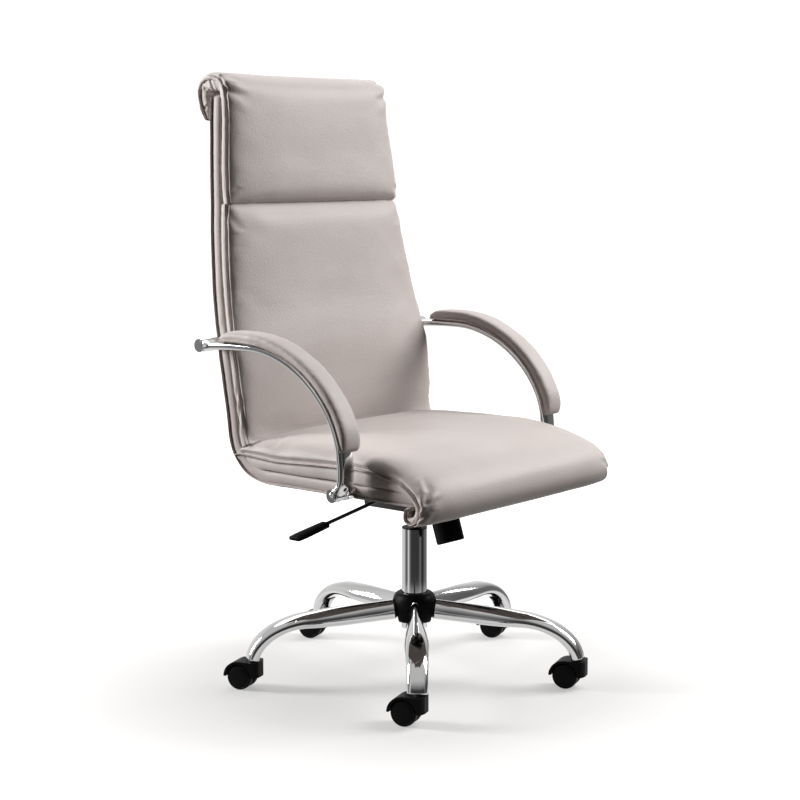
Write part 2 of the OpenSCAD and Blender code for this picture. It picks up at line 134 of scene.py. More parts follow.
def directions(line):  # unit direction along the line at each point
    out = []
    for i in range(len(line)):
        a, b = line[max(i - 1, 0)], line[min(i + 1, len(line) - 1)]
        out.append((Vector(b) - Vector(a)).normalized())
    return out


def newPiece(name, points, faces, material):
    mesh = bpy.data.meshes.new(name)
    mesh.from_pydata([tuple(p) for p in points], [], faces)
    mesh.validate()
    mesh.materials.append(material)
    mesh.shade_smooth()
    return addObject(name, mesh)


# Rings of points joined into a skin. Both ends are capped, unless the last ring joins the first.
def sweep(name, rings, material, closedPath=False):
    n, m = len(rings[0]), len(rings)
    points = [Vector(p) for ring in rings for p in ring]
    faces = []
    for i in range(m if closedPath else m - 1):
        k = (i + 1) % m
        for j in range(n):
            h = (j + 1) % n
            faces.append((i * n + j, i * n + h, k * n + h, k * n + j))
    if not closedPath:
        for i, order in ((0, -1), (m - 1, 1)):
            centre = sum((points[i * n + j] for j in range(n)), Vector()) / n
            points.append(centre)
            middle = len(points) - 1
            for j in range(n):
                h = (j + 1) % n
                a, b = i * n + j, i * n + h
                faces.append((a, b, middle) if order > 0 else (b, a, middle))
    return newPiece(name, points, faces, material)


def outward(piece):  # turns every face outwards
    work = bmesh.new()
    work.from_mesh(piece.data)
    bmesh.ops.remove_doubles(work, verts=work.verts, dist=1e-6)
    bmesh.ops.recalc_face_normals(work, faces=work.faces)
    work.to_mesh(piece.data)
    work.free()
    return piece


def joinPieces(name, pieces):
    points, faces, marks, smooth, materials = [], [], [], [], []
    for piece in pieces:
        start = len(points)
        slotOf = []
        for material in piece.data.materials:
            if material not in materials:
                materials.append(material)
            slotOf.append(materials.index(material))
        points += [tuple(v.co) for v in piece.data.vertices]
        for face in piece.data.polygons:
            faces.append([start + v for v in face.vertices])
            marks.append(slotOf[face.material_index] if slotOf else 0)
            smooth.append(face.use_smooth)
    mesh = bpy.data.meshes.new(name)
    mesh.from_pydata(points, [], faces)
    for material in materials:
        mesh.materials.append(material)
    mesh.polygons.foreach_set("material_index", marks)
    mesh.polygons.foreach_set("use_smooth", smooth)
    for piece in pieces:
        bpy.data.objects.remove(piece)
    return addObject(name, mesh)


# A profile of (radius, height) turned about an axis; place puts (x, y, height) into the chair's frame
def lathe(name, profile, material, place, sides):
    angles = [2 * math.pi * j / sides for j in range(sides)]
    rings = [[place(radius * math.cos(a), radius * math.sin(a), height) for a in angles] for radius, height in profile]
    return outward(sweep(name, rings, material))


def addNode(tree, kind, settings=None, links=None):
    node = tree.nodes.new(kind)
    for key, value in (settings or {}).items():
        if isinstance(key, int) or key[0].isupper():  # an input, by its place or its name
            node.inputs[key].default_value = value
        else:
            setattr(node, key, value)
    for key, source in (links or {}).items():
        tree.links.new(source, node.inputs[key])
    return node


def newMaterial(name, settings):
    material = bpy.data.materials.new(name)
    material.use_nodes = True
    tree = material.node_tree
    shader = tree.nodes["Principled BSDF"]
    for key, value in settings.items():
        shader.inputs[key].default_value = value
    place = addNode(tree, "ShaderNodeTexCoord").outputs["Object"]
    return material, tree, shader, place


def addRamp(tree, stops, factor):  # stops as (position, colour)
    ramp = addNode(tree, "ShaderNodeValToRGB", links={"Fac": factor})
    for i, (position, colour) in enumerate(stops):
        stop = ramp.color_ramp.elements[i] if i < 2 else ramp.color_ramp.elements.new(position)
        stop.position = position
        stop.color = colour
    return ramp


def colourBetween(tree, shader, dark, light, factor):
    ramp = addRamp(tree, [(0, hexToLinear(dark)), (1, hexToLinear(light))], factor)
    tree.links.new(ramp.outputs["Color"], shader.inputs["Base Color"])


def mixShaders(tree, factor, first, second):
    return addNode(tree, "ShaderNodeMixShader", links={0: factor, 1: first.outputs[0], 2: second.outputs[0]})


def roughBetween(tree, shader, low, high, factor):
    span = addNode(tree, "ShaderNodeMapRange", {"To Min": low, "To Max": high}, {"Value": factor})
    tree.links.new(span.outputs["Result"], shader.inputs["Roughness"])


def bumpFrom(tree, shader, strength, distance, height):
    bump = addNode(tree, "ShaderNodeBump", {"Strength": strength, "Distance": distance}, {"Height": height})
    tree.links.new(bump.outputs["Normal"], shader.inputs["Normal"])


# Polyurethane leatherette over foam: calendered with a fine pebble grain, satin, a little darker in its valleys
def makeLeatherette(name, dark, light):
    grainMm = 3.2
    material, tree, shader, place = newMaterial(name, {
        "IOR": 1.5, "Sheen Weight": 0.12, "Sheen Roughness": 0.5, "Specular IOR Level": 0.25})
    grain = addNode(tree, "ShaderNodeTexVoronoi",
                    {"feature": "SMOOTH_F1", "Scale": 1000 / grainMm, "Smoothness": 0.6}, {"Vector": place})
    pores = addNode(tree, "ShaderNodeTexNoise", {"Scale": 900.0, "Detail": 3.0}, {"Vector": place})
    cloudy = addNode(tree, "ShaderNodeTexNoise", {"Scale": 9.0, "Detail": 4.0, "Roughness": 0.55}, {"Vector": place})
    both = addNode(tree, "ShaderNodeMath", {"operation": "MULTIPLY_ADD", 1: 0.35},
                   {0: grain.outputs["Distance"], 2: cloudy.outputs["Fac"]})
    colourBetween(tree, shader, dark, light, both.outputs["Value"])
    roughBetween(tree, shader, 0.40, 0.52, pores.outputs["Fac"])
    height = addNode(tree, "ShaderNodeMath", {"operation": "MULTIPLY_ADD", 1: 0.4},
                     {0: pores.outputs["Fac"], 2: grain.outputs["Distance"]})
    bumpFrom(tree, shader, 0.28, 0.0009, height.outputs["Value"])
    return material


# Chromium-plated steel tube: mirror bright, with faint polishing haze
def makeChrome(name):
    material, tree, shader, place = newMaterial(name, {"Metallic": 1.0, "Base Color": hexToLinear("#D9D9DA")})
    haze = addNode(tree, "ShaderNodeTexNoise", {"Scale": 24.0, "Detail": 5.0}, {"Vector": place})
    roughBetween(tree, shader, 0.035, 0.09, haze.outputs["Fac"])
    ripple = addNode(tree, "ShaderNodeTexNoise", {"Scale": 16.0, "Detail": 1.0}, {"Vector": place})
    bumpFrom(tree, shader, 0.05, 0.002, ripple.outputs["Fac"])
    return material


# Injection-moulded plastic with a fine spark-eroded texture: deep colour, soft wide highlights
def makeMoulded(name, dark, light, low, high, specular=0.4):
    material, tree, shader, place = newMaterial(name, {"IOR": 1.5, "Specular IOR Level": specular})
    grit = addNode(tree, "ShaderNodeTexNoise", {"Scale": 700.0, "Detail": 2.0}, {"Vector": place})
    cloudy = addNode(tree, "ShaderNodeTexNoise", {"Scale": 30.0, "Detail": 3.0}, {"Vector": place})
    colourBetween(tree, shader, dark, light, cloudy.outputs["Fac"])
    roughBetween(tree, shader, low, high, cloudy.outputs["Fac"])
    bumpFrom(tree, shader, 0.12, 0.0003, grit.outputs["Fac"])
    return material


# Turned or drawn steel, left bare: fine streaks and a dull sheen
def makeBareSteel(name, dark, light):
    material, tree, shader, place = newMaterial(name, {"Metallic": 1.0})
    streaks = addNode(tree, "ShaderNodeTexNoise", {"Scale": 220.0, "Detail": 4.0}, {"Vector": place})
    colourBetween(tree, shader, dark, light, streaks.outputs["Fac"])
    roughBetween(tree, shader, 0.22, 0.42, streaks.outputs["Fac"])
    return material


# Rotary-cut plywood, pressed: warm tan with long darker grain
def makePlywood(name):
    material, tree, shader, place = newMaterial(name, {"IOR": 1.5})
    along = addNode(tree, "ShaderNodeMapping", {"Scale": (3.0, 60.0, 60.0)}, {"Vector": place})
    grain = addNode(tree, "ShaderNodeTexNoise", {"Scale": 4.0, "Detail": 5.0}, {"Vector": along.outputs["Vector"]})
    colourBetween(tree, shader, "#A98355", "#CDAE7E", grain.outputs["Fac"])
    roughBetween(tree, shader, 0.55, 0.7, grain.outputs["Fac"])
    return material


leatherette = makeLeatherette("satin_leatherette_greige", "#B5ABA7", "#C3BAB6")
# The shell cover's leatherette, the same as the pads but a little darker: painted shade for its rear and side band
leatheretteShadedCopy = makeLeatherette("satin_leatherette_greige_shell_painted_shade", "#ADA39F", "#BDB3AF")
thread = makeMoulded("polyester_thread_greige", "#A3988F", "#B8ADA6", 0.5, 0.65)
chrome = makeChrome("chromium_plated_steel")
blackPlastic = makeMoulded("moulded_nylon_black", "#08080A", "#0C0C0E", 0.36, 0.5, 0.06)
wheelPlastic = makeMoulded("moulded_nylon_wheel_black", "#070709", "#0B0B0D", 0.36, 0.5, 0.08)
blackPaint = makeMoulded("powder_coated_steel_black", "#0E0E0F", "#171718", 0.32, 0.45, 0.5)
bareSteel = makeBareSteel("turned_steel_bare", "#8E8E90", "#B4B4B6")
springSteel = makeBareSteel("oiled_spring_steel", "#3A3A3C", "#5A5A5D")
cylinderSteel = makeMoulded("enamelled_cylinder_steel", "#5C5D60", "#6B6C70", 0.18, 0.3, 0.6)
bushPlastic = makeMoulded("moulded_acetal_white", "#CFCEC8", "#DDDCD6", 0.38, 0.52)
plywood = makePlywood("pressed_plywood_beech")
slotMaterial = {
    "chrome": chrome, "bare_steel": bareSteel, "cylinder_steel": cylinderSteel, "spring_steel": springSteel,
    "black_plastic": blackPlastic, "wheel_plastic": wheelPlastic, "black_paint": blackPaint,
    "bush_plastic": bushPlastic, "plywood": plywood, "leatherette_border": leatheretteShadedCopy, "leatherette": leatherette,
}
for part in record["subparts"]:
    for slot in frame["nodes"][part["node"]].material_slots:
        slot.material = slotMaterial[part["material_slot"]]
print("materials made")


# Side profile of the shell's rear and lower face as [y, z] in mm, and its widths
shell = {
    "bend": [(-234, 405), (-150, 405), (-60, 405), (20, 405), (80, 405), (110, 405), (150, 407), (194, 424),
             (229, 468), (241, 540), (259, 640), (284, 740), (304, 860), (316, 980), (323, 1090), (325, 1142)],
    "halfWidth": [(0, 278), (640, 278), (929, 243), (1143, 227), (1200, 227)],
    "thick": 26,
    "stations": 150,
}
shellLine = evenLine(smoothLine(shell["bend"], 6), shell["stations"])


def beside(line, distance):  # the line at a distance towards the sitter
    out = []
    for point, along in zip(line, directions(line)):
        d = distance(point) if callable(distance) else distance
        out.append((point[0] - along.y * d, point[1] + along.x * d))
    return out


def halfWidth(z):
    return lookUp(shell["halfWidth"], z)


# One ring of a pad's section, running round the pad. The pad lies between an inner line and a side seam line,
# a flange stands out along the seam, and the face swells from there to a middle line. Each point is (y, z) in mm.
def padRing(inner, seam, crown, half, look, full=0.0):
    inner, seam, crown = Vector(inner), Vector(seam), Vector(crown)
    up = seam - inner
    deep = up.length
    up = up / max(deep, 1e-6)
    lip, stand = look["lip"], look["stand"]
    flange = [(-4.2, 0.98), (-1.0, 0.86), (stand * 0.85, 0.74), (stand, 0.5), (stand * 0.85, 0.24), (-1.2, 0.12)]
    side = [(half - 5.0, inner)]
    for k in range(look["band"] + 1):  # side band, bulging a little between its two grooves
        t = k / look["band"]
        side.append((half - 2.6 + look["bulge"] * math.sin(math.pi * t) ** 0.6,
                     inner + up * (1.0 + (deep - lip - 1.6) * t)))
    side += [(half + out, seam - up * lip * below) for out, below in flange]  # out in mm, below as a share of the lip
    side.append((half - 3.6, seam + up * 0.2))
    face = []
    tall = (crown - seam).length
    for k in range(1, look["face"]):
        a = math.pi * (k / look["face"])
        a = a + look["crowd"] * math.sin(2 * a) * -0.5  # points close together near the seams
        rise = math.sin(a) ** look["round"]
        wide = half - 3.6 + (3.6 + look["puff"] + full * 8) * ease(tall * rise / look["swell"])
        x = wide * squared(math.cos(a), look["square"] - 0.09 * full)
        face.append((x, seam + up * 0.2 + (crown - seam) * rise))
    back = [((half - 5.0) * (-1 + 2 * k / 8), inner) for k in range(1, 8)]
    ring = side + face + [(-x, p) for x, p in reversed(side)] + back
    return [(x, p.x, p.y) for x, p in ring]


def padMesh(name, inner, seam, crown, halves, look, material, fullness=None):
    rings = [padRing(inner[i], seam[i], crown[i], halves[i], look, fullness[i] if fullness else 0.0)
             for i in range(len(inner))]
    piece = sweep(name, [[Vector(p) * mm for p in ring] for ring in rings], material)
    held = piece.vertex_groups.new(name="held")  # all but the face, which the cloth simulation may move
    count, first = len(rings[0]), look["band"] + 9
    last = first + look["face"] - 2
    free = {i * count + j: ease(min(j - first, last - j, 1.5 * (i - 1), 1.5 * (len(rings) - 2 - i)) / 5)
            for i in range(len(rings)) for j in range(first, last + 1)}
    for index in range(len(piece.data.vertices)):
        held.add([index], 1 - max(0.0, free.get(index, 0)), "REPLACE")
    return outward(piece)


def moveAlong(piece, amount):  # moves each point along its normal by amount(point, normal) in mm
    normals = [v.normal.copy() for v in piece.data.vertices]
    for v, normal in zip(piece.data.vertices, normals):
        v.co += normal * amount(v.co / mm, normal) * mm


def lineDistance(point, line):  # distance in the side view from a point to a line of (y, z) points
    best = 1e9
    p = Vector((point[1], point[2]))
    for a, b in zip(line, line[1:]):
        a, b = Vector(a), Vector(b)
        t = max(0.0, min(1.0, (p - a).dot(b - a) / (b - a).length_squared))
        best = min(best, (p - a.lerp(b, t)).length)
    return best


# Foam under cloth: slow swellings, short puckers that start at the side seams, and the folds given as lines
def foam(look, halfAt, folds=(), lift=None):
    def amount(point, normal):
        x, y, z = point
        half = halfAt(point)
        move = look["wave"] * lumps(x / 130, y / 95, z / 95 + look["seed"])
        move += look["wave"] * 0.4 * lumps(x / 46, y / 40, z / 40 + look["seed"])
        near = ease((abs(x) - (half - look["puckerReach"])) / look["puckerReach"])
        ripple = lumps(x / 70, y / 8.5, z / 8.5 + look["seed"]) + 0.6 * lumps(x / 50, y / 17, z / 17)
        move += look["pucker"] * near * ripple * (1 if abs(x) < half - 2 or abs(normal.x) < 0.8 else 0.35)
        for fold in folds:
            strength = ease((abs(x) - fold["from"]) / fold["fade"])
            if strength > 0:
                d = lineDistance(point, fold["line"])
                wide = fold["wide"]
                if d < wide * 5:  # a valley with a ridge on either side
                    ridge = 0.7 * math.exp(-((d - 2.1 * wide) / (1.2 * wide)) ** 2)
                    move += strength * fold["deep"] * (ridge - math.exp(-(d / wide) ** 2))
        if lift:
            move += lift(point, normal)
        return move
    return amount


cloth = {"pressure": 0.5, "spare": 0.0015, "frames": 14, "cap": 2.6, "stretch": 40, "bend": 4.0,
         "rounds": 14, "share": 0.6}  # cap in mm; the steps are evened out this many times, by this share


# The cover, sewn fast at its seams and a little larger than its filling, blown out and let settle
def settle(piece):
    rest = [v.co.copy() for v in piece.data.vertices]
    modifier = piece.modifiers.new("cover", "CLOTH")
    cover = modifier.settings
    cover.quality = 5
    cover.mass = 0.3
    cover.vertex_group_mass = "held"
    cover.tension_stiffness = cover.compression_stiffness = cloth["stretch"]
    cover.bending_stiffness = cloth["bend"]
    cover.shrink_min = -cloth["spare"]
    cover.use_pressure = True
    cover.uniform_pressure_force = cloth["pressure"]
    cover.effector_weights.gravity = 0
    modifier.collision_settings.use_collision = False
    modifier.collision_settings.use_self_collision = False
    modifier.point_cache.frame_start = 1
    modifier.point_cache.frame_end = cloth["frames"]
    for frameNumber in range(1, cloth["frames"] + 1):
        scene.frame_set(frameNumber)
    moved = piece.evaluated_get(bpy.context.evaluated_depsgraph_get()).data
    steps = [swollen.co - start for start, swollen in zip(rest, moved.vertices)]
    near = [[] for v in rest]
    for edge in piece.data.edges:
        a, b = edge.vertices
        near[a].append(b)
        near[b].append(a)
    for _ in range(cloth["rounds"]):  # takes out fine streaks and keeps the broad swelling
        steps = [step * (1 - cloth["share"])
                 + sum((steps[j] for j in near[i]), Vector()) * (cloth["share"] / len(near[i]))
                 for i, step in enumerate(steps)]
    furthest = 0.0
    for v, start, step in zip(piece.data.vertices, rest, steps):
        if step.length > 1e-7:  # a soft limit, so no step shows where it is reached
            step *= cloth["cap"] * mm * math.tanh(step.length / (cloth["cap"] * mm)) / step.length
        furthest = max(furthest, step.length / mm)
        v.co = start + step
    piece.modifiers.remove(modifier)
    scene.frame_set(1)
    print("cloth", piece.name, "moved up to", round(furthest, 1), "mm")


def finishSoft(piece, nodes):
    piece.vertex_groups.clear()
    modifier = piece.modifiers.new("soften", "SUBSURF")
    modifier.levels = modifier.render_levels = 1
    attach(piece, "seat")
    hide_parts(*nodes)


stitchLines = []  # each a line of points in metres along a seam
stitchBack = 2.2  # mm from the flange to the row of stitches on the side band


def stitchAlong(inner, seam, halves, look):
    for side in (-1, 1):
        line = []
        for p, q, half in zip(inner, seam, halves):
            p, q = Vector(p), Vector(q)
            up = (q - p).normalized()
            at = q - up * (look["lip"] + stitchBack)
            t = max(0.0, min(1.0, ((at - p).length - 1.0) / max((q - p).length - look["lip"] - 1.6, 1)))
            out = half - 2.5 + look["bulge"] * math.sin(math.pi * t) ** 0.6
            line.append(Vector((side * out, at.x, at.y)) * mm)
        stitchLines.append(line)


# Shell cover: rear skin, side band and a narrow flange round the rear edge
shellLook = {"band": 8, "bulge": 2.6, "lip": 3.6, "stand": 3.2, "face": 44, "puff": -2.0, "swell": 2.0,
             "square": 0.30, "round": 0.5, "crowd": 0.5, "wave": 0.7, "seed": 3.1, "pucker": 0.5, "puckerReach": 16}
shellInner = beside(shellLine, shell["thick"])
shellSeam = beside(shellLine, 2.0)
shellCrown = beside(shellLine, -1.0)
shellHalves = [halfWidth(p[1]) for p in shellLine]
shellCover = padMesh("shell_cover_sewn", shellInner, shellSeam, shellCrown, shellHalves, shellLook, leatheretteShadedCopy)
shellFolds = [  # cross seams of the side band
    {"line": [(98, 404), (98, 432)], "from": 262, "fade": 6, "wide": 1.7, "deep": 1.6},
    {"line": [(292, 700), (262, 706)], "from": 262, "fade": 6, "wide": 1.7, "deep": 1.4},
]
moveAlong(shellCover, foam(shellLook, lambda p: halfWidth(p[2]), shellFolds))
stitchAlong(shellInner, shellSeam, shellHalves, shellLook)
finishSoft(shellCover, ["shell_cover", "shell_board"])


# Back pad, from behind the seat pad up to the head seam
backLook = {"band": 7, "bulge": 2.4, "lip": 3.4, "stand": 4.8, "face": 60, "puff": 6.0, "swell": 9.0,
            "square": 0.43, "round": 0.60, "crowd": 0.45, "wave": 1.5, "seed": 7.7, "pucker": 0.5, "puckerReach": 34,
            "lowZ": 452, "highZ": 929, "seam": 45.5, "stations": 170,
            "crown": [(452, 47), (482, 50), (527, 60), (568, 67), (610, 71), (700, 73), (800, 73), (870, 72),
                      (905, 68.5), (920, 62), (929, 53)]}
backPart = [p for p in shellLine if p[0] > 150]  # behind the bend
backLine = evenLine([p for p in backPart if backLook["lowZ"] <= p[1] <= backLook["highZ"] + 4], backLook["stations"])
backInner = beside(backLine, shell["thick"] + 0.6)
backSeam = beside(backLine, backLook["seam"])
backCrown = beside(backLine, lambda p: lookUpSmooth(backLook["crown"], p[1]))
backHalves = [halfWidth(p[1]) for p in backLine]
backPad = padMesh("back_pad_sewn", backInner, backSeam, backCrown, backHalves, backLook, leatherette)
backFolds = [  # the cover drawn in above the seat and at both ends of the head seam
    {"line": [(214, 505), (196, 560)], "from": 215, "fade": 60, "wide": 5.0, "deep": 1.3},
    {"line": [(226, 520), (205, 590), (208, 640)], "from": 240, "fade": 34, "wide": 4.0, "deep": 1.0},
    {"line": [(262, 925), (240, 885)], "from": 216, "fade": 26, "wide": 3.4, "deep": 1.2},
]
moveAlong(backPad, foam(backLook, lambda p: halfWidth(p[2]), backFolds))
settle(backPad)
stitchAlong(backInner, backSeam, backHalves, backLook)
finishSoft(backPad, ["back_pad"])


# Head pad: up the shell, over its top and down behind it, as matching lines of the inner side, seam and crown
headLook = {"band": 7, "bulge": 2.2, "lip": 3.4, "stand": 4.6, "face": 60, "puff": 5.0, "swell": 9.0,
            "square": 0.44, "round": 0.58, "crowd": 0.45, "wave": 1.4, "seed": 12.4, "pucker": 0.6, "puckerReach": 34,
            "saddle": 5.0, "low": 243, "top": 227, "tail": 217, "overAt": 99}  # half widths, and where it turns down
headRows = [  # inner, side seam, middle of the face
    ((279.5, 929), (260.5, 931), (255, 932)),
    ((281, 938), (262, 940), (243, 940)),
    ((284, 955), (264.5, 957), (239, 957)),
    ((287, 985), (267.5, 986), (241, 987)),
    ((291, 1030), (272, 1031), (247, 1032)),
    ((294.5, 1075), (276, 1076), (252, 1077)),
    ((297, 1110), (279, 1112), (257, 1115)),
    ((298.5, 1130), (281.5, 1136), (262, 1142)),
    ((300, 1144), (286, 1153), (269, 1161)),
    ((305, 1149), (297, 1165), (284, 1173)),
    ((315, 1149.5), (312, 1171), (304, 1178)),
    ((326, 1149), (328, 1172), (326, 1179)),
    ((335, 1147), (344, 1166), (346, 1173)),
    ((341, 1141), (356, 1156), (360, 1161)),
    ((343, 1130), (363, 1143), (367, 1145)),
    ((342, 1117), (362, 1124), (366, 1126)),
    ((340, 1105), (356, 1106), (361, 1107)),
    ((339, 1097), (349, 1094), (352, 1094)),
    ((340, 1094), (344, 1091), (345, 1090)),
]
headInner, headSeam, headCrown = (smoothLine([row[k] for row in headRows], 9) for k in range(3))


def headHalf(z):  # up the front of the pad
    return mixValue(headLook["low"], headLook["top"], ease((z - 929) / 220))


headHalves = [headHalf(p[1]) if i < headLook["overAt"]
              else mixValue(headLook["top"], headLook["tail"], ease((i - headLook["overAt"]) / 40))
              for i, p in enumerate(headSeam)]
headPad = padMesh("head_pad_sewn", headInner, headSeam, headCrown, headHalves, headLook, leatherette)
headFolds = [  # gussets of the roll's ends, gathers at the front flange, and the band's cross seam
    {"line": [(341, 1152), (322, 1146), (306, 1139)], "from": 200, "fade": 12, "wide": 3.0, "deep": 3.0},
    {"line": [(352, 1116), (331, 1124), (318, 1134)], "from": 205, "fade": 12, "wide": 2.6, "deep": 1.8},
    {"line": [(322, 1166), (314, 1148)], "from": 205, "fade": 12, "wide": 2.4, "deep": 1.6},
    {"line": [(280, 1150), (262, 1138), (250, 1120)], "from": 178, "fade": 34, "wide": 4.5, "deep": 2.4},
    {"line": [(292, 1172), (270, 1166), (258, 1150)], "from": 190, "fade": 26, "wide": 3.6, "deep": 2.0},
    {"line": [(298, 1078), (276, 1077)], "from": 212, "fade": 8, "wide": 1.7, "deep": 1.6},
    {"line": [(262, 938), (246, 960)], "from": 214, "fade": 26, "wide": 3.4, "deep": 1.2},
]


def headSaddle(point, normal):  # the roll sags a little in its middle
    bow = headLook["saddle"] * (abs(point[0]) / 220) ** 2 + 0.5
    return max(0.0, normal.z) * ease((point[2] - 1120) / 40) * bow


moveAlong(headPad, foam(headLook, lambda p: headHalf(p[2]), headFolds, headSaddle))
settle(headPad)
stitchAlong(headInner, headSeam, headHalves, headLook)
finishSoft(headPad, ["head_pad"])


# Seat pad: from the back pad forward, over the front edge and curled under it
seatLook = {"band": 7, "bulge": 2.8, "lip": 3.4, "stand": 5.4, "face": 64, "puff": 3.5, "swell": 10.0,
            "square": 0.40, "round": 0.60, "crowd": 0.45, "wave": 1.8, "seed": 21.0, "pucker": 0.4, "puckerReach": 30,
            "half": 278, "sewn": -20}  # the curl's last stations carry no stitches
seatRows = [
    ((208, 446), (216, 456), (209, 459)),
    ((196, 436), (207, 459), (199, 476)),
    ((182, 430), (192, 459), (178, 488)),
    ((150, 431.5), (150, 457), (142, 496)),
    ((103, 431.5), (103, 455), (97, 499)),
    ((40, 431.5), (40, 458), (36, 501)),
    ((-43, 431.5), (-43, 461), (-45, 502)),
    ((-100, 431.5), (-95, 463), (-108, 499)),
    ((-150, 431.5), (-150, 456), (-166, 491)),
    ((-195, 429), (-202, 444), (-221, 475)),
    ((-219, 421), (-229, 429), (-253, 457)),
    ((-230, 409), (-243, 411), (-273, 434)),
    ((-231, 399), (-245, 396), (-279, 408)),
    ((-227, 391), (-239, 382), (-266, 384)),
    ((-220, 388), (-225, 374), (-240, 374)),
    ((-214, 390), (-209, 379), (-216, 376)),
    ((-213, 396), (-205, 391), (-206, 392)),
    ((-216, 400), (-209, 403), (-209, 404)),
    ((-222, 399), (-221, 407), (-221, 408)),
]
seatInner, seatSeam, seatCrown = (smoothLine([row[k] for row in seatRows], 10) for k in range(3))
seatHalves = [seatLook["half"] + 3 * ease((i - 60) / 40) - 5 * ease((i - 125) / 40) for i in range(len(seatSeam))]
# The front corners stand out square
seatFullness = [ease((i - 88) / 22) * ease((152 - i) / 16) for i in range(len(seatSeam))]
seatPad = padMesh("seat_pad_sewn", seatInner, seatSeam, seatCrown, seatHalves, seatLook, leatherette, seatFullness)
seatFolds = [  # pleats at the front corners, where the cover is gathered round the edge
    {"line": [(-206, 447), (-246, 426), (-252, 410), (-244, 390)], "from": 262, "fade": 14, "wide": 2.8, "deep": 2.0},
    {"line": [(-240, 458), (-259, 440), (-262, 420)], "from": 252, "fade": 24, "wide": 3.0, "deep": 1.9},
    {"line": [(-272, 428), (-266, 406), (-252, 392)], "from": 246, "fade": 30, "wide": 3.2, "deep": 1.9},
    {"line": [(-278, 410), (-262, 384)], "from": 256, "fade": 20, "wide": 2.6, "deep": 1.4},
    {"line": [(150, 494), (120, 486)], "from": 200, "fade": 80, "wide": 6.0, "deep": 1.2},
]
moveAlong(seatPad, foam(seatLook, lambda p: seatLook["half"] + 2, seatFolds))
settle(seatPad)
stitchAlong(*(line[:seatLook["sewn"]] for line in (seatInner, seatSeam, seatHalves)), seatLook)
finishSoft(seatPad, ["seat_pad"])
print("upholstery made")


arm = {
    "middle": (130, 480), "reach": 226, "rise": 190, "power": 1.08, "x": 313, "wide": 38, "thick": 15,
    "rearBoss": (255, 667), "seatBoss": (-82, 418), "bossRadius": 12.5, "innerEnd": 278.3, "outerEnd": 332,
    "padWide": 50, "padThick": 21.5, "padEdge": 5.6, "padStart": 0.105, "padEnd": 0.835, "padTaper": 40, "stations": 200,
}


def armPoint(a):
    a = math.radians(a)
    return (arm["middle"][0] - arm["reach"] * math.sin(a) ** arm["power"],
            arm["middle"][1] + arm["rise"] * math.cos(a) ** arm["power"])


armRough = ([arm["rearBoss"], (235, 667), (200, 669), (165, 670)]
            + [armPoint(4 + 8.5 * i) for i in range(11)] + [(-97.5, 462), (-95, 438), arm["seatBoss"]])
armLine = evenLine(smoothLine(armRough, 8), arm["stations"])
armWays = directions(armLine)
armStep = math.dist(armLine[0], armLine[1])


def ovalRing(centre, along, halfWide, halfThick, sides):
    up = Vector((along.y, -along.x))  # away from the loop's inside
    ring = []
    for j in range(sides):
        a = 2 * math.pi * (j + 0.5) / sides
        u = halfWide * squared(math.cos(a), 0.55)
        v = halfThick * squared(math.sin(a), 0.75)
        ring.append((u, centre[0] + v * up.x, centre[1] + v * up.y))
    return ring


def makeArmTube(side, sign):  # flared where it meets each boss
    rings = []
    for i, (centre, along) in enumerate(zip(armLine, armWays)):
        ends = (i * armStep, (len(armLine) - 1 - i) * armStep)  # mm to each boss
        flare = 4 * ease(1 - ends[0] / 26) + 5 * ease(1 - ends[1] / 24)
        grow = 3.5 * ease(1 - ends[0] / 24) + 4.0 * ease(1 - ends[1] / 20)
        oval = ovalRing(centre, along, arm["wide"] / 2 + flare, arm["thick"] / 2 + grow, 40)
        rings.append([Vector((sign * arm["x"] + p[0], p[1], p[2])) * mm for p in oval])
    pieces = [outward(sweep("arm_tube", rings, chrome))]
    r, inner, outer = arm["bossRadius"], arm["innerEnd"], arm["outerEnd"]
    profile = [(0.01, inner), (r - 1.5, inner), (r - 0.4, inner + 0.5), (r, inner + 1.5),
               (r, outer - 1.5), (r - 0.4, outer - 0.4), (r - 1.5, outer), (0.01, outer)]
    for centre in (arm["rearBoss"], arm["seatBoss"]):
        pieces.append(lathe("arm_boss", profile, chrome,
                            lambda u, v, h, c=centre: Vector((sign * h, c[0] + u, c[1] + v)) * mm, 48))
    frameArm = joinPieces("arm_tube_" + side, pieces)
    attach(frameArm, "seat")
    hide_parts("arm_frame_" + side)


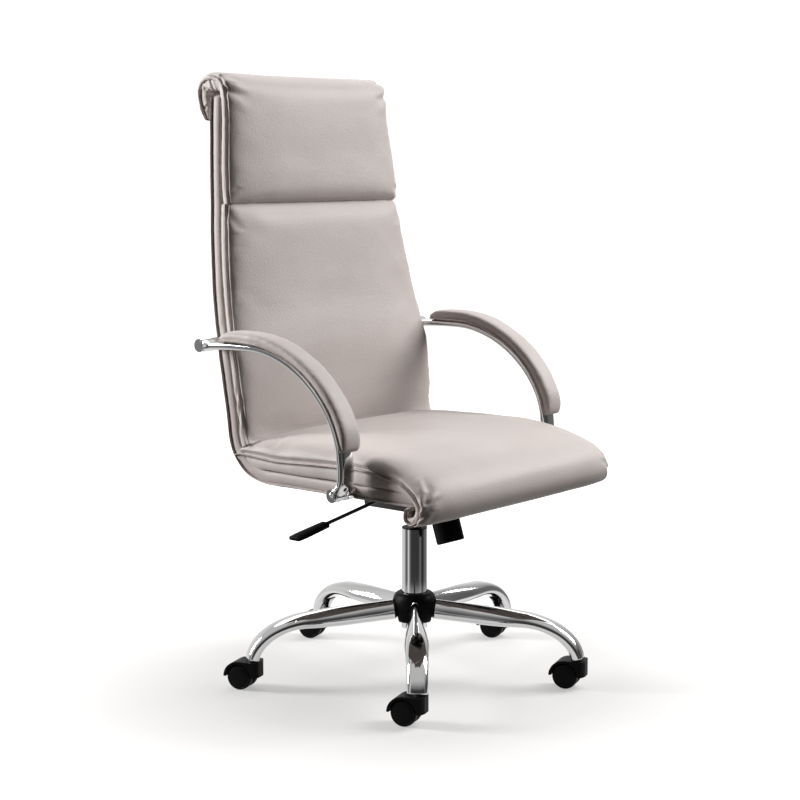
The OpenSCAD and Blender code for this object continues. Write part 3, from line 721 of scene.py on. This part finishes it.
# Arm pad: flat under, rounded over, with a sewn flange along both lower edges and long rounded ends
def makeArmPad(side, sign):
    x, edge = sign * arm["x"], arm["padEdge"]
    base = arm["thick"] / 2 + 0.4
    first, last = round(arm["padStart"] * arm["stations"]), round(arm["padEnd"] * arm["stations"])
    flange = [(4, 0.0), (1.4, 0.3), (0.8, 1.4), (-0.6, 1.7), (-1.8, 2.4), (-1.9, 3.3), (-1.1, 4.0),
              (0.9, 4.3), (1.0, 4.9)]  # mm in from the edge, and up
    rings, rims = [], ([], [])
    for i in range(first, last + 1):
        gap = min(i - first, last - i) * armStep
        closing = math.sqrt(1 - (1 - min(1.0, (gap + 0.25) / arm["padTaper"])) ** 2)
        half = arm["padWide"] / 2 * mixValue(0.72, 1, min(1.0, closing * 1.25))
        high = edge + (arm["padThick"] - edge) * closing
        centre, along = armLine[i], armWays[i]
        up = Vector((along.y, -along.x))
        section = [(-half + inward, rise) for inward, rise in flange]
        arch = []
        for k in range(1, 28):
            a = math.pi * k / 28
            arch.append((-(half + 0.8 * math.sin(a)) * squared(math.cos(a), 0.5),
                         5.4 + (high - 5.4) * math.sin(a) ** 0.6))
        section = section + arch + [(-u, v) for u, v in reversed(section)]
        section += [(half - 4 - (2 * half - 8) * k / 6, 0.0) for k in range(1, 6)]

        def onArm(u, v):
            return Vector((x + u, centre[0] + (base + v) * up.x, centre[1] + (base + v) * up.y)) * mm

        rings.append([onArm(u, v) for u, v in section])
        for rim, way in zip(rims, (-1, 1)):
            rim.append(onArm(way * (half + 1.35), 4.25))
    stitchLines.extend(rims)
    pad = outward(sweep("arm_pad_sewn_" + side, rings, leatherette))

    def armFoam(point, normal):
        px, py, pz = point
        top = ease((normal.z + normal.y * -0.6 + 0.1) / 0.5)
        slow = 0.9 * lumps(px / 40, py / 34, pz / 34 + 2 * sign)
        return slow + 0.55 * top * lumps(px / 30, py / 7, pz / 7) * ease((abs(px - x) - 8) / 14)

    moveAlong(pad, armFoam)
    finishSoft(pad, ["arm_pad_" + side])


for side, sign in (("right", -1), ("left", 1)):
    makeArmTube(side, sign)
    makeArmPad(side, sign)
print("arms made")


# Lockstitch beside every flange, drawn about twice as coarse as sewing thread so that it shows
stitch = {"pitch": 0.0052, "length": 0.0036, "radius": 0.00055}


def stitchTree():
    tree = bpy.data.node_groups.new("seam_stitches", "GeometryNodeTree")
    tree.interface.new_socket("Seam Line", in_out="INPUT", socket_type="NodeSocketGeometry")
    for name in ("Stitch Pitch", "Stitch Length", "Thread Radius"):
        tree.interface.new_socket(name, in_out="INPUT", socket_type="NodeSocketFloat")
    tree.interface.new_socket("Thread", in_out="INPUT", socket_type="NodeSocketMaterial")
    tree.interface.new_socket("Stitches", in_out="OUTPUT", socket_type="NodeSocketGeometry")
    given = addNode(tree, "NodeGroupInput").outputs
    curve = addNode(tree, "GeometryNodeMeshToCurve", links={"Mesh": given["Seam Line"]})
    spaced = addNode(tree, "GeometryNodeCurveToPoints", {"mode": "LENGTH"},
                     {"Curve": curve.outputs["Curve"], "Length": given["Stitch Pitch"]})
    turn = addNode(tree, "FunctionNodeAlignRotationToVector", {"axis": "Z"}, {"Vector": spaced.outputs["Tangent"]})
    bead = addNode(tree, "GeometryNodeMeshUVSphere", {"Segments": 6, "Rings": 4, "Radius": 1.0})
    half = addNode(tree, "ShaderNodeMath", {"operation": "MULTIPLY", 1: 0.5}, {0: given["Stitch Length"]})
    size = addNode(tree, "ShaderNodeCombineXYZ",
                   links={"X": given["Thread Radius"], "Y": given["Thread Radius"], "Z": half.outputs[0]})
    placed = addNode(tree, "GeometryNodeInstanceOnPoints", links={
        "Points": spaced.outputs["Points"], "Instance": bead.outputs["Mesh"],
        "Rotation": turn.outputs["Rotation"], "Scale": size.outputs[0]})
    real = addNode(tree, "GeometryNodeRealizeInstances", links={"Geometry": placed.outputs["Instances"]})
    dressed = addNode(tree, "GeometryNodeSetMaterial",
                      links={"Geometry": real.outputs["Geometry"], "Material": given["Thread"]})
    addNode(tree, "NodeGroupOutput", links={"Stitches": dressed.outputs["Geometry"]})
    return tree


def growAlong(name, lines, tree, values):  # a plain mesh of what the tree puts along the lines
    points, edges = [], []
    for line in lines:
        start = len(points)
        points += [tuple(p) for p in line]
        edges += [(start + i, start + i + 1) for i in range(len(line) - 1)]
    mesh = bpy.data.meshes.new(name + "_lines")
    mesh.from_pydata(points, edges, [])
    seams = addObject(name + "_lines", mesh)
    modifier = seams.modifiers.new(name, "NODES")
    modifier.node_group = tree
    for item in tree.interface.items_tree:
        if item.name in values:
            modifier[item.identifier] = values[item.name]
    made = bpy.data.meshes.new_from_object(seams.evaluated_get(bpy.context.evaluated_depsgraph_get()))
    made.name = name
    bpy.data.objects.remove(seams)
    made.shade_smooth()
    return addObject(name, made)


stitches = growAlong("seam_stitches", stitchLines, stitchTree(), {
    "Stitch Pitch": stitch["pitch"], "Stitch Length": stitch["length"],
    "Thread Radius": stitch["radius"], "Thread": thread})
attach(stitches, "seat")
print("stitches made", len(stitches.data.polygons))


# Pressed tube legs: oval, open along the inside of the bend and grooved along its outside
leg = {
    "channelFrom": 0.74, "channelHalf": 11, "grooveFrom": 0.78, "grooveDeep": 1.6, "sides": 72,
    "startR": 28, "bendR": 215, "stemR": 331, "startZ": 135.5, "bendZ": 128, "middleZ": 50, "end": 83.5, "turn": 4.5,
    "wide": [(0, 16), (0.2, 17.5), (0.45, 25), (0.6, 24.5), (0.8, 21.2), (1, 19.2)],
    "high": [(0, 19.5), (0.35, 19), (0.47, 16.5), (0.62, 13), (1, 12.2)],
    "ridge": [(0, 0.62), (0.2, 0.55), (0.5, 0.25), (0.7, 0.1), (1, 0)],
}


def smoothLook(table, t, spread=0.05):  # a table's value, averaged so that no corner shows
    return sum(lookUp(table, t + spread * k / 4) for k in range(-4, 5)) / 9


def legCentre(t):
    if t < 0.5:
        return Vector((mixValue(leg["startR"], leg["bendR"], 2 * t), mixValue(leg["startZ"], leg["bendZ"], 2 * t)))
    a = math.radians(leg["end"] * (2 * t - 1))
    return Vector((leg["bendR"] + (leg["stemR"] + 1 - leg["bendR"]) * math.sin(a),
                   leg["middleZ"] + (leg["bendZ"] - leg["middleZ"]) * math.cos(a)))


def legRing(t, inset=0):
    along = (legCentre(t + 0.01) - legCentre(t - 0.01)).normalized()
    up = Vector((-along.y, along.x))
    w = smoothLook(leg["wide"], t) - inset
    h = smoothLook(leg["high"], t) - inset
    ridge = smoothLook(leg["ridge"], t)
    centre = legCentre(t)
    slot = ease((t - leg["channelFrom"]) / 0.05) if inset == 0 else 0
    ring = []
    for i in range(leg["sides"]):
        a = 2 * math.pi * (i + 0.5) / leg["sides"]
        v = squared(math.sin(a), 0.8)
        u = squared(math.cos(a), 0.75) * (1 - ridge * ((v + 1) / 2) ** 1.5)
        across, rise = w * u, h * v
        if v < 0 and abs(across) < leg["channelHalf"] * slot:
            rise = mixValue(rise, h * 0.55, slot)
        if v > 0:
            rise -= leg["grooveDeep"] * math.exp(-(across / 1.5) ** 2) * ease((t - leg["grooveFrom"]) / 0.06)
        ring.append((centre.x + rise * up.x, across, centre.y + rise * up.y))
    return ring


def turned(point, degrees):
    a = math.radians(degrees)
    x, y, z = point
    return Vector((x * math.cos(a) - y * math.sin(a), x * math.sin(a) + y * math.cos(a), z))


legTimes = [0.04 + 0.96 * i / 90 for i in range(91)]
for n in range(1, 6):
    turn = leg["turn"] + 72 * (n - 1)
    rings = [[turned(p, turn) * mm for p in legRing(t)] for t in legTimes]
    piece = outward(sweep(f"leg_tube_{n}", rings, chrome))
    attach(piece, "base")
    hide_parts(f"leg_{n}")


# Tension spring round the bolt, carried with the seat at one fixed length; on the chair it is pressed shorter as the
# seat tilts and the knob rises
spring = {"top": (-52.1, 401.5), "lean": 18, "low": -117.2, "high": -26.0, "turns": 6.5, "coil": 14.0, "wire": 2.35,
          "endPitch": 0.55, "perTurn": 36, "wireSides": 12, "pressed": 0.73}
lean = math.radians(spring["lean"])


def onBolt(x, y, h):  # a point across and along the tension bolt
    return Vector((x, spring["top"][0] + y * math.cos(lean) + h * math.sin(lean),
                   spring["top"][1] - y * math.sin(lean) + h * math.cos(lean))) * mm


def coilHeight(t):  # an even pitch, drawn together towards both ends
    pitch = mixValue(spring["endPitch"], 1, ease(min(t, 1 - t) * spring["turns"] / 0.8))
    return mixValue(spring["low"], spring["high"], t * pitch if t < 0.5 else 1 - (1 - t) * pitch)


rings = []
for i in range(round(spring["turns"] * spring["perTurn"]) + 1):
    a = 2 * math.pi * i / spring["perTurn"]
    height = coilHeight(i / (spring["turns"] * spring["perTurn"]))
    ring = []
    for b in (2 * math.pi * j / spring["wireSides"] for j in range(spring["wireSides"])):
        r = spring["coil"] + spring["wire"] * math.cos(b)
        ring.append(onBolt(r * math.cos(a), r * math.sin(a), height + spring["wire"] * math.sin(b)))
    rings.append(ring)
coilSpring = outward(sweep("tension_spring_coil", rings, springSteel))
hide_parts("tension_spring")
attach(coilSpring, "seat")
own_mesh(coilSpring)


# Lever paddle: a flat moulded bar, a little wider towards its blunt end
paddle = {"wall": (-45, 377.6), "slope": 8.8, "dome": 1.6, "corner": 0.3,
          "sections": [(-216, 8.0, 3.6), (-217.5, 9.6, 5.0), (-221, 10.4, 5.4), (-245, 11.6, 5.4), (-270, 12.8, 5.3),
                       (-290, 13.2, 5.0), (-300, 13.2, 4.6), (-303.5, 12.8, 4.2), (-304.8, 11.6, 3.2)]}
rings = []
slope = math.radians(paddle["slope"])
for along, wide, high in smoothLine(paddle["sections"], 3):
    ring = []
    for j in range(40):
        a = 2 * math.pi * (j + 0.5) / 40
        y = wide * squared(math.cos(a), paddle["corner"])
        z = high * squared(math.sin(a), paddle["corner"])
        if z > 0:
            z -= paddle["dome"] * (y / wide) ** 2
        ring.append(Vector((paddle["wall"][0] + along * math.cos(slope) - z * math.sin(slope), y,
                            paddle["wall"][1] + along * math.sin(slope) + z * math.cos(slope))) * mm)
    rings.append(ring)
leverPaddle = outward(sweep("lever_paddle_moulded", rings, blackPlastic))
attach(leverPaddle, "lever")
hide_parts("lever_paddle")


# Hub cover: a moulded dome with a pointed arch over each leg
hub = {"profile": [(26.2, 167.5), (30, 167.8), (34, 166.6), (38, 163.2), (41, 158), (42.8, 151), (43.4, 143),
                   (43.4, 131), (42.6, 122), (40.5, 114), (38.5, 110.5)],
       "wide": 43.4, "wall": 2.0, "lines": 260, "gap": 1.3, "legAt": 0.045, "top": 34, "shoulder": 38}
hubCurve = evenLine(smoothLine(hub["profile"], 8), 60)
legEdge = [Vector((p[1], p[2])) for p in legRing(hub["legAt"], -hub["gap"])]
legEdge = sorted(((abs(p.x), p.y) for p in legEdge if p.y > legCentre(hub["legAt"]).y - 4), key=lambda p: p[0])


def archHeight(angle):  # lower edge of the cover at an angle round the hub
    off = min(abs((angle - leg["turn"] - 72 * n + 180) % 360 - 180) for n in range(5))
    across = hub["wide"] * math.sin(math.radians(off))
    return lookUp(legEdge, across) if across < legEdge[-1][0] else hub["profile"][-1][1]


rings = []
for i in range(hub["lines"]):
    angle = 360 * i / hub["lines"]
    low = archHeight(angle)
    kept = [p for p in hubCurve if p[1] > low or p[0] < hub["top"]]
    if low > hubCurve[-1][1] + 0.5:
        kept[-1] = (kept[-1][0], low)
    outer = evenLine(kept, 30)
    inside = [(r - hub["wall"], z - (hub["wall"] if r < hub["shoulder"] else 0)) for r, z in reversed(outer)]
    a = math.radians(angle)
    rings.append([Vector((r * math.cos(a), r * math.sin(a), z)) * mm for r, z in outer + inside])
hubCover = outward(sweep("hub_cover_moulded", rings, blackPlastic, closedPath=True))
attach(hubCover, "base")
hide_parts("hub_cover")


# Caster wheels: twin discs with rounded treads and plain domed faces
wheel = {"radius": 25, "trail": 21.4, "turn": 107.6,
         "profile": [(2.6, 3.6), (20, 3.6), (23.6, 4.2), (24.7, 5.4), (25, 7.5), (25, 14.5), (24.6, 17), (23.7, 18.6),
                     (22.4, 19.4), (21.4, 19.5), (20.9, 18.9), (20.3, 18.8), (19.6, 19.3), (15, 19.9), (9, 20.2),
                     (4, 20.35), (0.01, 20.4)]}
ahead = turned((1, 0, 0), wheel["turn"])
axle = Vector((-ahead.y, ahead.x, 0))
for n in range(1, 6):
    stem = turned((leg["stemR"], 0, 0), leg["turn"] + 72 * (n - 1))
    centre = stem + ahead * wheel["trail"] + Vector((0, 0, wheel["radius"]))
    discs = []
    for way in (-1, 1):
        discs.append(lathe("disc", wheel["profile"], wheelPlastic,
                           lambda u, v, h: (centre + ahead * u + Vector((0, 0, v)) + axle * h * way) * mm, 72))
    wheels = joinPieces(f"caster_discs_{n}", discs)
    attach(wheels, f"wheels_{n}")
    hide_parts(f"caster_wheels_{n}")
print("base made")


view = {"cameraAt": (-2.648, -2.183, 1.018), "aim": 39.98, "down": 7.76, "lens": 79.7, "sensor": 36}
cameraData = bpy.data.cameras.new("studio_camera")
cameraData.lens = view["lens"]
cameraData.sensor_width = view["sensor"]
camera = addObject("studio_camera", cameraData)
camera.location = view["cameraAt"]
camera.rotation_euler = (math.radians(90 - view["down"]), 0, math.radians(view["aim"] - 90))
scene.camera = camera

# White lacquered board with a painted glow added to its lit colour. The glow is weaker near the chair, so the floor
# there is darker and shadows on it show at half strength, and it rises to plain white away from the chair; it lights
# the chair from below less than it shows.
stage = {"glowNear": 0.40, "shown": "#A7A5A3", "bounced": "#5A5755", "edge": 40.0}
floorMaterial = bpy.data.materials.new("studio_floor_white")
floorMaterial.use_nodes = True
tree = floorMaterial.node_tree
tree.nodes.remove(tree.nodes["Principled BSDF"])
place = addNode(tree, "ShaderNodeTexCoord")
away = addNode(tree, "ShaderNodeVectorMath", {"operation": "LENGTH"}, {0: place.outputs["Object"]})
fade = addNode(tree, "ShaderNodeMapRange",
               {"From Min": 0.4, "From Max": 1.25, "To Min": stage["glowNear"], "To Max": 1.0},
               {"Value": away.outputs["Value"]})
# Painted glow: emission that rises with distance from the chair, so the near floor is darker and shadows are half
# washed out
glow = addNode(tree, "ShaderNodeEmission", {"Color": (1, 1, 1, 1)}, {"Strength": fade.outputs["Result"]})
lit = addNode(tree, "ShaderNodeBsdfDiffuse", {"Color": hexToLinear(stage["shown"])})
shown = addNode(tree, "ShaderNodeAddShader", links={0: glow.outputs[0], 1: lit.outputs[0]})
bounced = addNode(tree, "ShaderNodeBsdfDiffuse", {"Color": hexToLinear(stage["bounced"])})
path = addNode(tree, "ShaderNodeLightPath")
# Polished metal sees the board only near the chair, and the dark room beyond it
edgeOfBoard = addNode(tree, "ShaderNodeMapRange", {"From Min": 0.42, "From Max": 0.8},
                      {"Value": away.outputs["Value"]})
clear = addNode(tree, "ShaderNodeBsdfTransparent")
nearby = mixShaders(tree, edgeOfBoard.outputs["Result"], shown, clear)
reflected = mixShaders(tree, path.outputs["Is Glossy Ray"], bounced, nearby)
mix = mixShaders(tree, path.outputs["Is Camera Ray"], reflected, shown)
tree.links.new(mix.outputs[0], tree.nodes["Material Output"].inputs["Surface"])
corners = [(x * stage["edge"], y * stage["edge"], 0) for x, y in ((-1, -1), (1, -1), (1, 1), (-1, 1))]
floor = newPiece("studio_floor", corners, [(0, 1, 2, 3)], floorMaterial)


def addLight(name, kind, place, aim, power, **settings):
    data = bpy.data.lights.new(name, kind)
    data.energy = power
    for key, value in settings.items():
        setattr(data, key, value)
    lamp = addObject(name, data)
    lamp.location = place
    lamp.rotation_euler = (Vector(aim) - Vector(place)).to_track_quat("-Z", "Y").to_euler()


light = {"overhead": 1.45, "right": 180, "left": 168, "surround": 0.06}
addLight("overhead_softbox", "SUN", (1.25, 1.03, 2.6), (0, 0, 0), light["overhead"], angle=math.radians(55))
addLight("right_softbox", "AREA", (2.45, -1.8, 2.8), (0, 0, 0.8), light["right"],
         shape="RECTANGLE", size=1.7, size_y=2.4)
addLight("left_softbox", "AREA", (-1.9, 2.75, 1.6), (0, 0.1, 0.8), light["left"],
         shape="RECTANGLE", size=0.9, size_y=2.2)

# Plain surround: dim, and a little darker behind the camera.
# Polished metal sees white walls with dark flags between them.
world = bpy.data.worlds.new("studio_surround")
scene.world = world
world.use_nodes = True
tree = world.node_tree
wall = tree.nodes["Background"]
wall.inputs["Strength"].default_value = light["surround"]
way = addNode(tree, "ShaderNodeTexCoord")
toCamera, toRight = (-0.772, -0.636, 0.0), (0.636, -0.772, 0.0)
facing = addNode(tree, "ShaderNodeVectorMath", {"operation": "DOT_PRODUCT", 1: toCamera}, {0: way.outputs["Generated"]})
ramp = addRamp(tree, [(0.0, hexToLinear("#FFFFFF")), (0.85, hexToLinear("#4A4A4C"))], facing.outputs["Value"])
tree.links.new(ramp.outputs["Color"], wall.inputs["Color"])
turnRound = addNode(tree, "ShaderNodeMapRange", {"From Min": -1.0}, {"Value": facing.outputs["Value"]})
greys = [(0.0, 0.85), (0.36, 0.8), (0.47, 0.42), (0.53, 0.25), (0.62, 0.11), (0.68, 0.09), (0.73, 0.75),
         (0.80, 0.8), (0.85, 0.2), (0.93, 0.055), (1.0, 0.045)]  # from behind the chair round to the camera
flags = addRamp(tree, [(at, (grey, grey * 0.995, grey * 0.98, 1)) for at, grey in greys], turnRound.outputs["Result"])
sideways = addNode(tree, "ShaderNodeVectorMath", {"operation": "DOT_PRODUCT", 1: toRight}, {0: way.outputs["Generated"]})
curtain = addNode(tree, "ShaderNodeMapRange", {"From Min": 0.25, "From Max": 0.75, "To Min": 1.0, "To Max": 0.22},
                  {"Value": sideways.outputs["Value"]})
walls = addNode(tree, "ShaderNodeVectorMath", {"operation": "SCALE"},
                {0: flags.outputs["Color"], "Scale": curtain.outputs["Result"]})
high = addNode(tree, "ShaderNodeSeparateXYZ", links={0: way.outputs["Generated"]})
above = addNode(tree, "ShaderNodeMapRange", {"From Min": 0.25, "From Max": 0.7}, {"Value": high.outputs["Z"]})
ceiling = addNode(tree, "ShaderNodeMix", {"data_type": "RGBA", 7: (0.62, 0.62, 0.61, 1)},
                  {0: above.outputs["Result"], 6: walls.outputs["Vector"]})
mirrored = addNode(tree, "ShaderNodeBackground", {"Strength": 1.0}, {"Color": ceiling.outputs[2]})
path = addNode(tree, "ShaderNodeLightPath")
matt = mixShaders(tree, path.outputs["Is Glossy Ray"], wall, mirrored)
seen = addNode(tree, "ShaderNodeBackground", {"Color": (1, 1, 1, 1), "Strength": 1.05})
mix = mixShaders(tree, path.outputs["Is Camera Ray"], matt, seen)
tree.links.new(mix.outputs[0], tree.nodes["World Output"].inputs["Surface"])
scene.view_settings.view_transform = "Standard"
